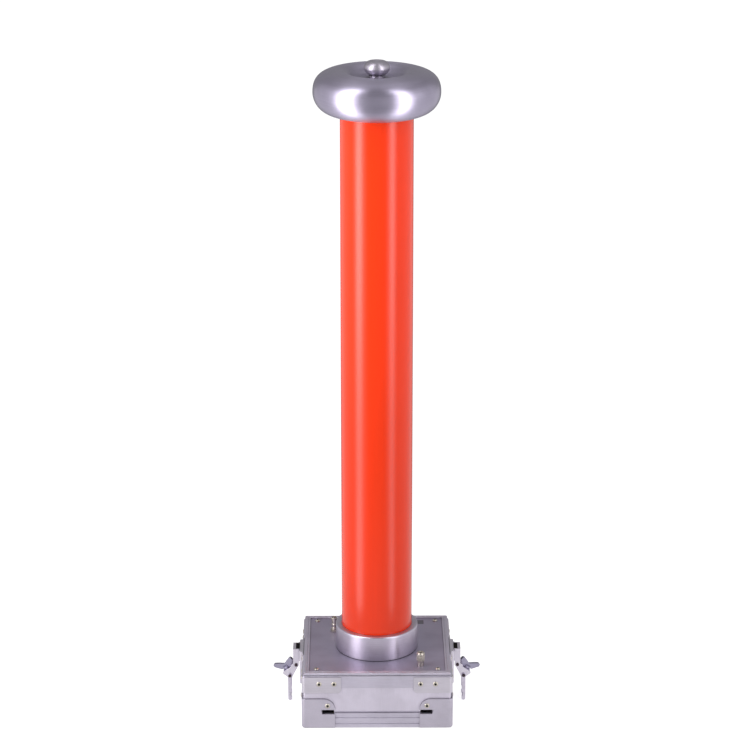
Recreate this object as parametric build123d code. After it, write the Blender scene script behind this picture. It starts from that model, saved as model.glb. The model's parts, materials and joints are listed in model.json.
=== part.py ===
from build123d import *
import math
import os

# High-voltage divider: an instrument case with an insulating column and a corona ring.
# Millimetres, +Z up. The column's axis is X = Y = 0 and the case's feet stand on Z = 0.

# Case, over its extruded frames
case_width = 230.0
case_depth = 224.0
case_height = 92.5
case_corner_radius = 4.0
frame_wall = 4.0
mitre_depth = 26.0

# Bottom frame
foot_leaf = 1.0
foot_leaf_reach = 30.0
base_flange_width = 18.0
base_flange_thickness = 2.0
bottom_plate_thickness = 2.0
bottom_plate_gap = 0.2
groove_start = 6.6
groove_height = 5.1
groove_depth = 1.2
groove_slope = 0.5
groove_pitch = 10.2
groove_count = 2
bottom_frame_height = 25.3
shadow_gap = 3.4
support_leg_top = 44.0

# Side sheets
sheet_setback = 0.85
sheet_thickness = 1.5
sheet_fit = 0.05
sheet_slot_depth = 3.7
corner_return = 14.0

# Top frame and panel
band_bottom = 68.4
bead_top = 88.4
bead_round = 1.2
neck_depth = 1.6
neck_height = 1.0
lip_setback = 0.9
lip_chamfer = 1.6
rim_outer_strip = 6.0
rim_channel_width = 1.4
rim_channel_depth = 0.6
rim_width = 9.8
rim_stand = 2.1
panel_thickness = 3.0
panel_edge_gap = 0.2
panel_corner_radius = 1.5
ledge_thickness = 3.0
ledge_width = 25.0

# Upper corner brackets
bracket_thickness = 1.3
bracket_leg = 60.5
bracket_bottom = 59.7
bracket_top = 86.3
bracket_round = 6.0

# Lower corner caps
cap_thickness = 2.0
cap_leg = 51.8
cap_top = 49.6
cap_round = 18.0
cap_foot_round = 4.0
cap_slot_bottom = 24.5
cap_slot_top = 31.8
cap_slot_length = 21.4
cap_slot_end_slant = 1.5
cap_pocket_margin = 1.5

# Blind rivets
rivet_head_radius = 4.0
rivet_head_height = 1.5
rivet_mandrel_radius = 1.5
rivet_mandrel_depth = 2.4
rivet_shank_radius = 2.0
rivet_hole_fit = 0.05
rivet_tail = 1.5
bracket_rivet_setbacks = (25.2, 48.2)
bracket_rivet_height = 75.0
cap_rivet_setback = 38.2
cap_rivet_height = 38.6

# Panel screws, set back from the side walls and from the front and back walls
panel_screw_side_setback = 21.0
panel_screw_front_setback = 19.5
screw_head_radius = 3.9
screw_head_height = 2.6
screw_head_dome = 1.2
screw_shank_radius = 2.0
screw_hole_fit = 0.2
screw_grip = 2.4
cross_slot_width = 1.1
cross_slot_length = 4.6
cross_slot_depth = 1.3

# Column
flange_radius = 64.0
flange_height = 40.0
flange_floor = 8.0
flange_top_round = 2.5
flange_foot_relief = 1.2
flange_foot_height = 1.0
lead_hole_radius = 12.0
flange_screw_count = 6
flange_screw_circle = 40.0
flange_screw_radius = 2.5
flange_screw_head_radius = 4.25
flange_screw_head_height = 5.0
flange_screw_length = 8.5
tube_radius = 55.0
tube_wall = 6.0
tube_length = 895.6
glue_gap = 0.05
plug_thickness = 20.0
top_cap_flange = 8.0
top_cap_depth = 25.0

# Corona ring, spun from sheet
ring_centre_radius = 67.0
ring_section_width = 28.3
ring_section_height = 30.4
ring_crest_radius = 52.0
ring_crest_rise = 31.1
ring_shoulder_side = 0.8
ring_shoulder_top = 0.65
ring_wall = 2.0
ring_seat_gap = 0.4
well_lip_round = 20.0
well_floor_round = 14.0
well_slope = 45.0
quarter_turn = 90.0

# Top terminal
terminal_foot_radius = 11.6
terminal_foot_height = 2.9
terminal_waist_radius = 10.7
terminal_waist_height = 3.6
terminal_neck_radius = 11.4
terminal_ball_radius = 19.3
terminal_ball_height = 13.3
terminal_ball_centre = 14.8
terminal_height = 24.3
terminal_edge = 2.5
terminal_bore_depth = 13.0
stud_radius = 5.0
stud_fit = 0.05
stud_engagement = 20.0

# Divider stack inside the column
module_count = 8
module_radius = 28.0
module_boss_radius = 8.0
module_boss_height = 2.0
module_edge = 2.0
contact_spring_height = 12.0
contact_spring_width = 12.0
contact_spring_thickness = 0.8
contact_spring_length = 46.0
support_rod_count = 3
support_rod_radius = 4.0
support_rod_circle = 39.0
support_rod_seat = 8.0
signal_rod_radius = 4.0

# Low-voltage board inside the case
board_width = 150.0
board_depth = 110.0
board_thickness = 1.6
standoff_height = 12.0
standoff_radius = 4.0
standoff_inset = 8.0
capacitor_radius = 9.0
capacitor_height = 30.0
capacitor_count = 4
capacitor_spacing = 26.0
capacitor_offset = 34.0
resistor_radius = 2.2
resistor_length = 14.0
resistor_count = 5
resistor_spacing = 16.0
resistor_offset = -32.0

# Coaxial output socket, set back from the left wall and from the back wall
socket_side_setback = 48.0
socket_back_setback = 58.0
socket_height = 24.0
socket_thread_radius = 4.7
socket_tail = 12.0
socket_bore_radius = 3.55
socket_bore_depth = 11.0
socket_shell_radius = 4.1
socket_collar_radius = 4.95
socket_collar_level = 5.0
socket_collar_height = 1.6
socket_waist_radius = 4.2
socket_ring_radius = 4.6
socket_ring_level = 11.8
socket_ring_height = 1.2
socket_slope = 0.6
socket_lug_radius = 1.05
socket_lug_reach = 5.5
socket_lug_drop = 2.6
socket_insulator_radius = 2.4
socket_insulator_depth = 2.5
socket_contact_radius = 0.9
socket_nut_across_flats = 11.0
socket_nut_height = 3.2
hole_fit = 0.1

# Earth post, set back from the right wall and from the front wall
post_side_setback = 47.5
post_front_setback = 33.5
post_collar_radius = 4.8
post_collar_height = 4.6
post_stud_radius = 3.0
post_stud_height = 19.0
post_tail = 14.0
post_plug_radius = 2.05
post_plug_depth = 12.5
post_washer_radius = 5.0
post_washer_thickness = 1.2
post_running_fit = 0.06
post_nut_radius = 6.35
post_nut_height = 16.7
post_nut_cone = 3.5
post_nut_chamfer = 1.4
post_nut_face_radius = 5.2
post_nut_band = 3.4
post_nut_groove = 0.7
post_nut_groove_depth = 0.6
post_nut_roof = 2.0
post_flute_count = 30
post_flute_depth = 0.35
lock_nut_across_flats = 10.0
lock_nut_height = 4.0

# Side latches: u is the distance out from the case wall, at the middle of each side
latch_plate_height = 6.3
latch_plate_wall = 1.5
latch_plate_half_width = 24.0
latch_plate_flange = 9.0
latch_plate_bottom = 35.0
latch_plate_top = 89.5
latch_plate_round = 2.0
latch_rivet_inset = 4.5
latch_rivet_low = 48.0
latch_rivet_high = 80.0
yoke_half_width = 12.8
yoke_sheet = 1.6
yoke_reach = 16.6
yoke_top = 89.0
yoke_web_bottom = 77.0
yoke_lip = 2.8
yoke_foot_bottom = 71.0
yoke_foot_width = 6.0
yoke_step = 1.5
yoke_eye_radius = 4.3
buffer_thickness = 5.6
buffer_height = 12.5
buffer_side_gap = 0.3
latch_hinge_u = 12.0
latch_hinge_z = 62.0
latch_pin_radius = 1.5
latch_pin_fit = 0.05
latch_pin_head_radius = 2.6
latch_pin_head_height = 1.0
carrier_half_width = 10.6
carrier_sheet = 1.6
carrier_side_gap = 0.3
hub_u = 26.75
hub_z = 52.5
hub_tilt = 34.7
hub_outer_reach = 6.3
hub_inner_reach = 7.5
hub_outer_round = 2.4
hub_inner_round = 1.8
hub_ramp_run = 3.0
hub_ramp_rise = 4.5
carrier_eye_radius = 4.2
link_eye_drop = 10.3
link_eye_shift = 1.3
link_boss_radius = 4.8
wing_angle = 24.0
wing_thickness = 4.2
wing_boss_radius = 5.5
wing_boss_height = 3.4
wing_shaft_radius = 3.0
wing_shaft_length = 7.0
wing_cam_radius = 6.5
wing_cam_thickness = 1.8
wing_lift = 0.3
wing_reach = 18.9
wing_tip_height = 9.0
wing_crown_height = 13.9
wing_waist_height = 7.4
wing_root = 9.4
wing_tip_round = 1.4
link_strap_width = 6.0
link_strap_thickness = 2.0
link_foot_clearance = 0.8
link_bar_radius = 2.2
link_bar_rise = 1.6
link_notch_width = 1.9
link_notch_length = 7.0
link_notch_rise = 4.0

# Levels worked out from the sizes above
panel_top = case_height - rim_stand
panel_bottom = panel_top - panel_thickness
wall_x = case_width / 2
wall_y = case_depth / 2
tube_bottom = panel_top + flange_floor
tube_top = tube_bottom + tube_length
tube_bore = tube_radius - tube_wall
ring_floor_bottom = tube_top + top_cap_flange
ring_floor_top = ring_floor_bottom + ring_wall
well_depth = (well_lip_round + well_floor_round) * (1 - math.cos(math.radians(well_slope)))
ring_centre_z = ring_floor_top + well_depth - ring_crest_rise
socket_x = socket_side_setback - wall_x
socket_y = wall_y - socket_back_setback
post_x = wall_x - post_side_setback
post_y = post_front_setback - wall_y
board_bottom = foot_leaf + base_flange_thickness + bottom_plate_thickness + standoff_height
board_top = board_bottom + board_thickness

nodes = {}


def turned(*profile):
    """Revolve a closed outline of (radius, height) points about the column's axis."""
    return revolve(Plane.XZ * Polygon(*profile, align=None), Axis.Z)


def turned_face(face):
    """Revolve a face drawn as (radius, height) about the column's axis."""
    return revolve(Plane.XZ * face, Axis.Z)


def peg(origin, direction, radius, length):
    """A round bar that starts at a point and runs along a direction."""
    plane = Plane(origin=origin, z_dir=direction)
    return extrude(plane * Circle(radius), amount=length)


def block(x_range, y_range, z_range):
    """A box between three pairs of limits."""
    size = [high - low for low, high in (x_range, y_range, z_range)]
    middle = [(high + low) / 2 for low, high in (x_range, y_range, z_range)]
    return Pos(*middle) * Box(*size)


def envelope(offset, z_low, z_high):
    """The case's outline, moved outwards by an offset and extruded between two levels."""
    width = case_width + 2 * offset
    depth = case_depth + 2 * offset
    outline = RectangleRounded(width, depth, case_corner_radius + offset)
    return Pos(0, 0, z_low) * extrude(outline, amount=z_high - z_low)


def only_solid(shape):
    """The single solid of a result."""
    return shape.solids()[0]


def four_corners(shape):
    """A front-right piece and its mirror images, by corner name."""
    front_left = mirror(shape, about=Plane.YZ)
    return {
        "front_right": shape,
        "front_left": front_left,
        "back_right": mirror(shape, about=Plane.XZ),
        "back_left": mirror(front_left, about=Plane.XZ),
    }


def corner_points(setback, height, skin):
    """The front-right corner's two places at one setback: point and outward direction."""
    front = ((wall_x - setback, -wall_y - skin, height), (0, -1, 0))
    side = ((wall_x + skin, -wall_y + setback, height), (1, 0, 0))
    return [front, side]


def rivet(point, direction, grip):
    """A blind rivet: domed head on the skin, hollow at its middle, and a shank inwards."""
    plane = Plane(origin=point, z_dir=direction)
    edge = 0.35
    head = turned(
        (rivet_mandrel_radius, rivet_head_height - rivet_mandrel_depth),
        (0, rivet_head_height - rivet_mandrel_depth),
        (0, -grip - rivet_tail),
        (rivet_shank_radius, -grip - rivet_tail),
        (rivet_shank_radius, 0),
        (rivet_head_radius, 0),
        (rivet_head_radius, edge),
        (rivet_head_radius * 0.82, rivet_head_height * 0.72),
        (rivet_head_radius * 0.5, rivet_head_height),
        (rivet_mandrel_radius, rivet_head_height),
    )
    return plane.location * head


def rivet_hole(point, direction, depth):
    """The hole for a rivet, cut inwards from a little outside the skin."""
    start = Vector(*point) + Vector(*direction) * cap_thickness * 2
    inwards = Vector(*direction) * -1
    radius = rivet_shank_radius + rivet_hole_fit
    return peg(start, inwards, radius, depth + cap_thickness * 2)


def latch_rivet_points():
    """The right-hand latch plate's four rivets: point on the flange and direction."""
    reach = latch_plate_half_width + latch_rivet_inset
    x = wall_x + latch_plate_wall
    levels = (latch_rivet_low, latch_rivet_high)
    return [((x, side * reach, z), (1, 0, 0)) for side in (-1, 1) for z in levels]


def wall_rivet_holes():
    """Every rivet hole through the case's four walls."""
    holes = []
    depth = frame_wall + cap_thickness
    corner = [p for s in bracket_rivet_setbacks for p in corner_points(s, bracket_rivet_height, 0)]
    corner += corner_points(cap_rivet_setback, cap_rivet_height, 0)
    for point, direction in corner:
        holes += list(four_corners(rivet_hole(point, direction, depth)).values())
    for point, direction in latch_rivet_points():
        hole = rivet_hole(point, direction, depth)
        holes += [hole, mirror(hole, about=Plane.YZ)]
    return holes


def case_rivets():
    """All blind rivets of the case, as one group of separate solids."""
    rivets = []
    sheet_grip = frame_wall + bracket_thickness
    for setback in bracket_rivet_setbacks:
        for point, direction in corner_points(setback, bracket_rivet_height, bracket_thickness):
            rivets += list(four_corners(rivet(point, direction, sheet_grip)).values())
    for point, direction in corner_points(cap_rivet_setback, cap_rivet_height, cap_thickness):
        rivets += list(four_corners(rivet(point, direction, frame_wall + cap_thickness)).values())
    for point, direction in latch_rivet_points():
        one = rivet(point, direction, frame_wall + latch_plate_wall)
        rivets += [one, mirror(one, about=Plane.YZ)]
    return Compound(children=rivets)


def frame_run(section, face_distance, length):
    """One mitred bar of a frame, made at the front with its section's u running inwards."""
    profile = Plane.YZ * Polygon(*[(u - face_distance, z) for u, z in section], align=None)
    bar = extrude(profile, amount=length / 2, both=True)
    half = length / 2
    inner = half - mitre_depth
    trapezoid = Polygon(
        (-half, -face_distance),
        (half, -face_distance),
        (inner, mitre_depth - face_distance),
        (-inner, mitre_depth - face_distance),
        align=None,
    )
    return bar & extrude(trapezoid, amount=case_height + 1)


def four_sides(section):
    """The four mitred bars of a frame, by side name."""
    turns = (
        ("front", 0, wall_y, case_width),
        ("right", 90, wall_x, case_depth),
        ("back", 180, wall_y, case_width),
        ("left", 270, wall_x, case_depth),
    )
    return {name: Rot(0, 0, turn) * frame_run(section, face, length) for name, turn, face, length in turns}


def sheet_ring(outer_gap, inner_gap, z_low, z_high):
    """The band that the side sheets fill, widened by a gap on each face."""
    outside = envelope(-sheet_setback + outer_gap, z_low, z_high)
    inside = envelope(-sheet_setback - sheet_thickness - inner_gap, z_low, z_high)
    return outside - inside


def bottom_frame_section():
    """The bottom frame's section: grooved outer face, support leg and base flange."""
    points = [(0, foot_leaf)]
    for index in range(groove_count):
        low = groove_start + index * groove_pitch
        high = low + groove_height
        points += [(0, low), (groove_depth, low + groove_slope)]
        points += [(groove_depth, high - groove_slope), (0, high)]
    leg_face = sheet_setback + sheet_thickness
    points += [(0, bottom_frame_height), (leg_face, bottom_frame_height)]
    points += [(leg_face, support_leg_top), (frame_wall, support_leg_top)]
    points += [(frame_wall, foot_leaf + base_flange_thickness)]
    points += [(base_flange_width, foot_leaf + base_flange_thickness), (base_flange_width, foot_leaf)]
    return points


def cap_slot_pockets():
    """Pockets behind the caps' slots, through the bottom frame's wall and the sheets."""
    z_range = (cap_slot_bottom, cap_slot_top)
    leg_end = cap_leg - cap_thickness
    far = leg_end - cap_slot_length + cap_slot_end_slant
    near = leg_end - cap_pocket_margin
    front = block((wall_x - near, wall_x - far), (-wall_y - 1, -wall_y + frame_wall + 1), z_range)
    side = block((wall_x - frame_wall - 1, wall_x + 1), (-wall_y + far, -wall_y + near), z_range)
    return list(four_corners(front).values()) + list(four_corners(side).values())


def bottom_frame(holes):
    """The bottom frame's four grooved bars, with the sheets' seat and the rivet holes cut."""
    seat_top = support_leg_top + 1
    seat = sheet_ring(sheet_fit, 0, bottom_frame_height + shadow_gap, seat_top)
    outline = envelope(0, foot_leaf, seat_top)
    cutters = [seat, *holes, *cap_slot_pockets()]
    bars = four_sides(bottom_frame_section())
    return {name: only_solid((bar & outline) - cutters) for name, bar in bars.items()}


def top_frame_section():
    """The top frame's section: outer band, bead, neck, lip, channelled rim and panel ledge."""
    lip_low = bead_top + neck_height
    strip_end = rim_outer_strip
    channel_end = strip_end + rim_channel_width
    return [
        (0, band_bottom),
        (0, bead_top - bead_round),
        (bead_round * 0.3, bead_top - bead_round * 0.3),
        (bead_round, bead_top),
        (neck_depth, bead_top),
        (neck_depth, lip_low),
        (lip_setback, lip_low),
        (lip_setback, case_height - lip_chamfer),
        (lip_setback + lip_chamfer, case_height),
        (strip_end, case_height),
        (strip_end + 0.4, case_height - rim_channel_depth),
        (channel_end - 0.4, case_height - rim_channel_depth),
        (channel_end, case_height),
        (rim_width - 0.3, case_height),
        (rim_width, case_height - 0.3),
        (rim_width, panel_bottom),
        (ledge_width, panel_bottom),
        (ledge_width, panel_bottom - ledge_thickness),
        (frame_wall, panel_bottom - ledge_thickness),
        (frame_wall, band_bottom),
    ]


def top_frame(holes):
    """The top frame's four bars, with the sheets' slot, the rivet and the screw holes cut."""
    slot = sheet_ring(sheet_fit, sheet_fit, band_bottom - 1, band_bottom + sheet_slot_depth)
    outline = envelope(0, band_bottom - 1, case_height + 1)
    cutters = [slot, *holes, *[panel_screw_hole(x, y) for x, y in panel_screw_places()]]
    bars = four_sides(top_frame_section())
    return {name: only_solid((bar & outline) - cutters) for name, bar in bars.items()}


def side_sheets(holes):
    """Front and back sheets with bent corners, and the flat left and right sheets."""
    ring = sheet_ring(0, 0, bottom_frame_height + shadow_gap, band_bottom + sheet_slot_depth - sheet_fit)
    ring = ring - [*holes, *cap_slot_pockets()]
    cut = wall_y - corner_return
    reach = max(case_width, case_depth)
    tall = (0, case_height)
    wide = (-reach, reach)
    middle = ring & block(wide, (-cut, cut), tall)
    right = middle & block((0, reach), wide, tall)
    left = middle & block((-reach, 0), wide, tall)
    return {
        "front": only_solid(ring & block(wide, (-reach, -cut), tall)),
        "back": only_solid(ring & block(wide, (cut, reach), tall)),
        "right": only_solid(right),
        "left": only_solid(left),
    }


def bottom_plate():
    """The flat plate that lies on the bottom frame's flanges."""
    shrink = frame_wall + bottom_plate_gap
    outline = Rectangle(case_width - 2 * shrink, case_depth - 2 * shrink)
    level = foot_leaf + base_flange_thickness
    return Pos(0, 0, level) * extrude(outline, amount=bottom_plate_thickness)


def leg_outline(leg, z_low, z_high, rounding, round_top):
    """A corner piece's leg seen square on: the far end's upper or lower corner is round."""
    outline = Pos(leg / 2, (z_low + z_high) / 2) * Rectangle(leg, z_high - z_low)
    end = outline.vertices().sort_by(Axis.X)[-2:].sort_by(Axis.Y)
    return fillet(end[-1] if round_top else end[0], rounding)


def inward_prism(origin, run, inward, outline, depth):
    """A leg outline stood on a wall: its first axis runs along it, and it is pushed inwards."""
    plane = Plane(origin=origin, x_dir=run, z_dir=Vector(*run).cross(Vector(0, 0, 1)))
    side = 1 if plane.z_dir.dot(Vector(*inward)) > 0 else -1
    return extrude(plane * outline, amount=side * depth)


def corner_piece(thickness, outline, shell):
    """The part of a shell that two legs cover at the front-right corner."""
    corner = (wall_x + thickness, -wall_y - thickness, 0)
    slab = case_corner_radius + thickness
    front = inward_prism(corner, (-1, 0, 0), (0, 1, 0), outline, slab)
    side = inward_prism(corner, (0, 1, 0), (-1, 0, 0), outline, slab)
    return shell & (front + side)


def upper_brackets():
    """Four folded sheet brackets round the case's upper vertical edges."""
    levels = (bracket_bottom, bracket_top)
    shell = envelope(bracket_thickness, *levels) - envelope(0, *levels)
    outline = leg_outline(bracket_leg, bracket_bottom, bracket_top, bracket_round, False)
    holes = [
        rivet_hole(point, direction, frame_wall)
        for setback in bracket_rivet_setbacks
        for point, direction in corner_points(setback, bracket_rivet_height, 0)
    ]
    return four_corners(only_solid(corner_piece(bracket_thickness, outline, shell) - holes))


def cap_slot(run, origin, inward):
    """A cap's slot, open at the free end of the leg, its blind end slanted."""
    start = cap_leg - cap_slot_length
    outline = Polygon(
        (start + cap_slot_end_slant, cap_slot_bottom),
        (cap_leg + 1, cap_slot_bottom),
        (cap_leg + 1, cap_slot_top),
        (start, cap_slot_top),
        align=None,
    )
    return inward_prism(origin, run, inward, outline, cap_thickness + 0.5)


def lower_caps():
    """Four cast corner caps with a rounded foot, a slot in each leg and a leaf underneath."""
    block_shape = envelope(cap_thickness, 0, cap_top)
    foot_edges = block_shape.faces().sort_by(Axis.Z)[0].edges()
    block_shape = fillet(foot_edges, cap_foot_round)
    shell = block_shape - envelope(0, foot_leaf, cap_top)
    outline = leg_outline(cap_leg, 0, cap_top, cap_round, True)
    legs_slab = case_corner_radius + cap_thickness
    legs = corner_piece(cap_thickness, outline, shell)
    inner_x = wall_x - foot_leaf_reach
    inner_y = -wall_y + foot_leaf_reach
    leaf = shell & block((inner_x, wall_x + legs_slab), (-wall_y - legs_slab, inner_y), (0, foot_leaf))
    cap = legs - block((0, inner_x), (-wall_y, 0), (0, foot_leaf))
    cap = cap - block((0, wall_x), (inner_y, 0), (0, foot_leaf)) + leaf
    corner = (wall_x + cap_thickness, -wall_y - cap_thickness, 0)
    cap = cap - cap_slot((-1, 0, 0), corner, (0, 1, 0)) - cap_slot((0, 1, 0), corner, (-1, 0, 0))
    holes = [rivet_hole(p, d, frame_wall) for p, d in corner_points(cap_rivet_setback, cap_rivet_height, 0)]
    return four_corners(only_solid(cap - holes))


def panel_screw_places():
    """The four panel screws' places."""
    x = wall_x - panel_screw_side_setback
    y = wall_y - panel_screw_front_setback
    return [(sx * x, sy * y) for sx in (-1, 1) for sy in (-1, 1)]


def panel_screw_hole(x, y):
    """A clearance hole for a panel screw, through the panel and the ledge."""
    depth = panel_thickness + ledge_thickness + 2
    return peg((x, y, panel_top + 1), (0, 0, -1), screw_shank_radius + screw_hole_fit, depth)


def panel_screws():
    """Four pan-head screws with a cross recess, as one group."""
    length = panel_thickness + ledge_thickness + screw_grip
    screw = turned(
        (0, -length),
        (screw_shank_radius, -length),
        (screw_shank_radius, 0),
        (screw_head_radius, 0),
        (screw_head_radius, screw_head_height - screw_head_dome),
        (screw_head_radius * 0.85, screw_head_height - screw_head_dome * 0.4),
        (screw_head_radius * 0.5, screw_head_height),
        (0, screw_head_height),
    )
    slot_middle = screw_head_height - cross_slot_depth / 2 + 0.01
    for turn in (0, 90):
        bar = Box(cross_slot_length, cross_slot_width, cross_slot_depth)
        screw = screw - Pos(0, 0, slot_middle) * Rot(0, 0, turn) * bar
    return Compound(children=[Pos(x, y, panel_top) * screw for x, y in panel_screw_places()])


def flange_screw_places():
    """The flange screws' places on their circle."""
    step = 360 / flange_screw_count
    turns = [math.radians(step * index) for index in range(flange_screw_count)]
    return [(flange_screw_circle * math.cos(turn), flange_screw_circle * math.sin(turn)) for turn in turns]


def top_panel():
    """The instrument panel, with its holes for screws, terminals and the column's lead."""
    shrink = rim_width + panel_edge_gap
    outline = RectangleRounded(case_width - 2 * shrink, case_depth - 2 * shrink, panel_corner_radius)
    panel = Pos(0, 0, panel_bottom) * extrude(outline, amount=panel_thickness)
    depth = panel_thickness + 2
    holes = [panel_screw_hole(x, y) for x, y in panel_screw_places()]
    radius = flange_screw_radius + screw_hole_fit
    holes += [peg((x, y, panel_top + 1), (0, 0, -1), radius, depth) for x, y in flange_screw_places()]
    holes += [peg((0, 0, panel_top + 1), (0, 0, -1), lead_hole_radius, depth)]
    holes += [peg((socket_x, socket_y, panel_top + 1), (0, 0, -1), socket_thread_radius + hole_fit, depth)]
    holes += [peg((post_x, post_y, panel_top + 1), (0, 0, -1), post_stud_radius + hole_fit, depth)]
    return only_solid(panel - holes)


def column_flange():
    """The turned socket that holds the column, with a relieved foot and tapped holes."""
    bore = tube_radius + glue_gap
    foot = flange_radius - flange_foot_relief
    body = turned(
        (lead_hole_radius, 0),
        (foot, 0),
        (foot, flange_foot_height),
        (flange_radius, flange_foot_height),
        (flange_radius, flange_height),
        (bore, flange_height),
        (bore, flange_floor),
        (lead_hole_radius, flange_floor),
    )
    rim = body.edges().filter_by(GeomType.CIRCLE).group_by(Axis.Z)[-1].sort_by(lambda e: e.radius)[-1]
    body = Pos(0, 0, panel_top) * fillet(rim, flange_top_round)
    reach = flange_screw_length - panel_thickness + 0.5
    radius = flange_screw_radius + stud_fit
    holes = [peg((x, y, panel_top), (0, 0, 1), radius, reach) for x, y in flange_screw_places()]
    return only_solid(body - holes)


def flange_screws():
    """Six socket-head screws that hold the flange from inside the case."""
    socket = 2.0
    socket_depth = 2.5
    screw = turned(
        (0, flange_screw_length),
        (flange_screw_radius, flange_screw_length),
        (flange_screw_radius, 0),
        (flange_screw_head_radius, 0),
        (flange_screw_head_radius, -flange_screw_head_height),
        (0, -flange_screw_head_height),
    )
    recess = Pos(0, 0, -flange_screw_head_height) * extrude(RegularPolygon(socket, 6), amount=socket_depth)
    screw = screw - recess
    return Compound(children=[Pos(x, y, panel_bottom) * screw for x, y in flange_screw_places()])


def column_tube():
    """The insulating tube."""
    return turned(
        (tube_bore, tube_bottom), (tube_radius, tube_bottom), (tube_radius, tube_top), (tube_bore, tube_top)
    )


def rod_places():
    """The support rods' places on their circle."""
    step = 2 * math.pi / support_rod_count
    turns = [step * index + math.pi / 2 for index in range(support_rod_count)]
    return [(support_rod_circle * math.cos(turn), support_rod_circle * math.sin(turn)) for turn in turns]


def rod_seats(level, direction):
    """The support rods' blind seats, cut up or down from a level."""
    radius = support_rod_radius + stud_fit
    return [peg((x, y, level), (0, 0, direction), radius, support_rod_seat) for x, y in rod_places()]


def bottom_plug():
    """The insulating disc that closes the tube's foot and seats the stack."""
    low = tube_bottom
    high = low + plug_thickness
    radius = tube_bore - glue_gap
    inner = signal_rod_radius + stud_fit
    disc = turned((inner, low), (radius, low), (radius, high), (inner, high))
    return only_solid(disc - rod_seats(high, -1))


def top_cap():
    """The metal cap glued in the tube's top, tapped for the terminal stud."""
    low = tube_top - top_cap_depth
    radius = tube_bore - glue_gap
    bore = stud_radius + stud_fit
    floor = ring_floor_bottom - stud_engagement
    body = turned(
        (0, low),
        (radius, low),
        (radius, tube_top),
        (tube_radius, tube_top),
        (tube_radius, ring_floor_bottom),
        (bore, ring_floor_bottom),
        (bore, floor),
        (0, floor),
    )
    return only_solid(body - rod_seats(low, 1))


def support_rods():
    """Three insulating rods between the bottom plug and the top cap."""
    low = tube_bottom + plug_thickness - support_rod_seat
    high = tube_top - top_cap_depth + support_rod_seat
    rods = [peg((x, y, low), (0, 0, 1), support_rod_radius, high - low) for x, y in rod_places()]
    return Compound(children=rods)


def stack_limits():
    """The lowest and highest level of the module stack."""
    low = tube_bottom + plug_thickness
    high = tube_top - top_cap_depth - contact_spring_height
    return low, high


def divider_modules():
    """Resistor and capacitor modules stacked boss to boss."""
    low, high = stack_limits()
    pitch = (high - low) / module_count
    body_low = module_boss_height
    body_high = pitch - module_boss_height
    module = turned(
        (0, 0),
        (module_boss_radius, 0),
        (module_boss_radius, body_low),
        (module_radius - module_edge, body_low),
        (module_radius, body_low + module_edge),
        (module_radius, body_high - module_edge),
        (module_radius - module_edge, body_high),
        (module_boss_radius, body_high),
        (module_boss_radius, pitch),
        (0, pitch),
    )
    return Compound(children=[Pos(0, 0, low + index * pitch) * module for index in range(module_count)])


def contact_spring():
    """A bowed strip that presses the stack against the top cap."""
    _, low = stack_limits()
    half = contact_spring_length / 2
    high = tube_top - top_cap_depth
    outer = ThreePointArc((-half, high), (0, low), (half, high))
    top = high - contact_spring_thickness
    inner_half = half - contact_spring_thickness * 2
    inner = ThreePointArc((-inner_half, high), (0, low + contact_spring_thickness), (inner_half, high))
    left = Line(outer @ 0, inner @ 0)
    right = Line(outer @ 1, inner @ 1)
    face = make_face([outer, right, inner, left])
    strip = extrude(Plane.XZ * face, amount=contact_spring_width / 2, both=True)
    return only_solid(strip & block((-half, half), (-half, half), (low, top + contact_spring_thickness)))


def signal_rod():
    """The tap rod from the lowest module down to the low-voltage board."""
    low, _ = stack_limits()
    return peg((0, 0, board_top), (0, 0, 1), signal_rod_radius, low - board_top)


def ring_chain(inset):
    """The ring's outline from its lower edge, round the outside, over the crest to the well floor."""
    width = ring_section_width - inset
    seat = tube_radius + ring_seat_gap
    start = -math.degrees(math.acos((seat - ring_centre_radius) / width))
    belly = EllipticalCenterArc(
        (ring_centre_radius, ring_centre_z), width, ring_section_height - inset, start, arc_size=-start
    )
    side = ring_centre_radius + width
    rise = ring_crest_rise - inset
    crest = (ring_crest_radius, ring_centre_z + rise)
    shoulder = Bezier(
        belly @ 1,
        (side, ring_centre_z + ring_shoulder_side * rise),
        (ring_crest_radius + ring_shoulder_top * (side - ring_crest_radius), ring_centre_z + rise),
        crest,
    )
    lip_centre = Vector(ring_crest_radius, ring_centre_z + ring_crest_rise - well_lip_round)
    lip = CenterArc(lip_centre, well_lip_round - inset, quarter_turn, well_slope)
    reach = well_lip_round + well_floor_round
    turn = math.radians(quarter_turn + well_slope)
    bowl_centre = lip_centre + Vector(reach * math.cos(turn), reach * math.sin(turn))
    bowl = CenterArc(bowl_centre, well_floor_round + inset, well_slope - quarter_turn, -well_slope)
    hole = (stud_radius + ring_seat_gap, ring_floor_top - inset)
    return [belly, shoulder, lip, bowl, Line(bowl @ 1, hole)]


def corona_ring():
    """The hollow ring with its sunken well, one spun shell."""
    outside = ring_chain(0)
    inside = ring_chain(ring_wall)
    foot = Line(outside[0] @ 0, inside[0] @ 0)
    hub = Line(outside[-1] @ 1, inside[-1] @ 1)
    return turned_face(make_face([*outside, foot, *inside, hub]))


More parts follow.
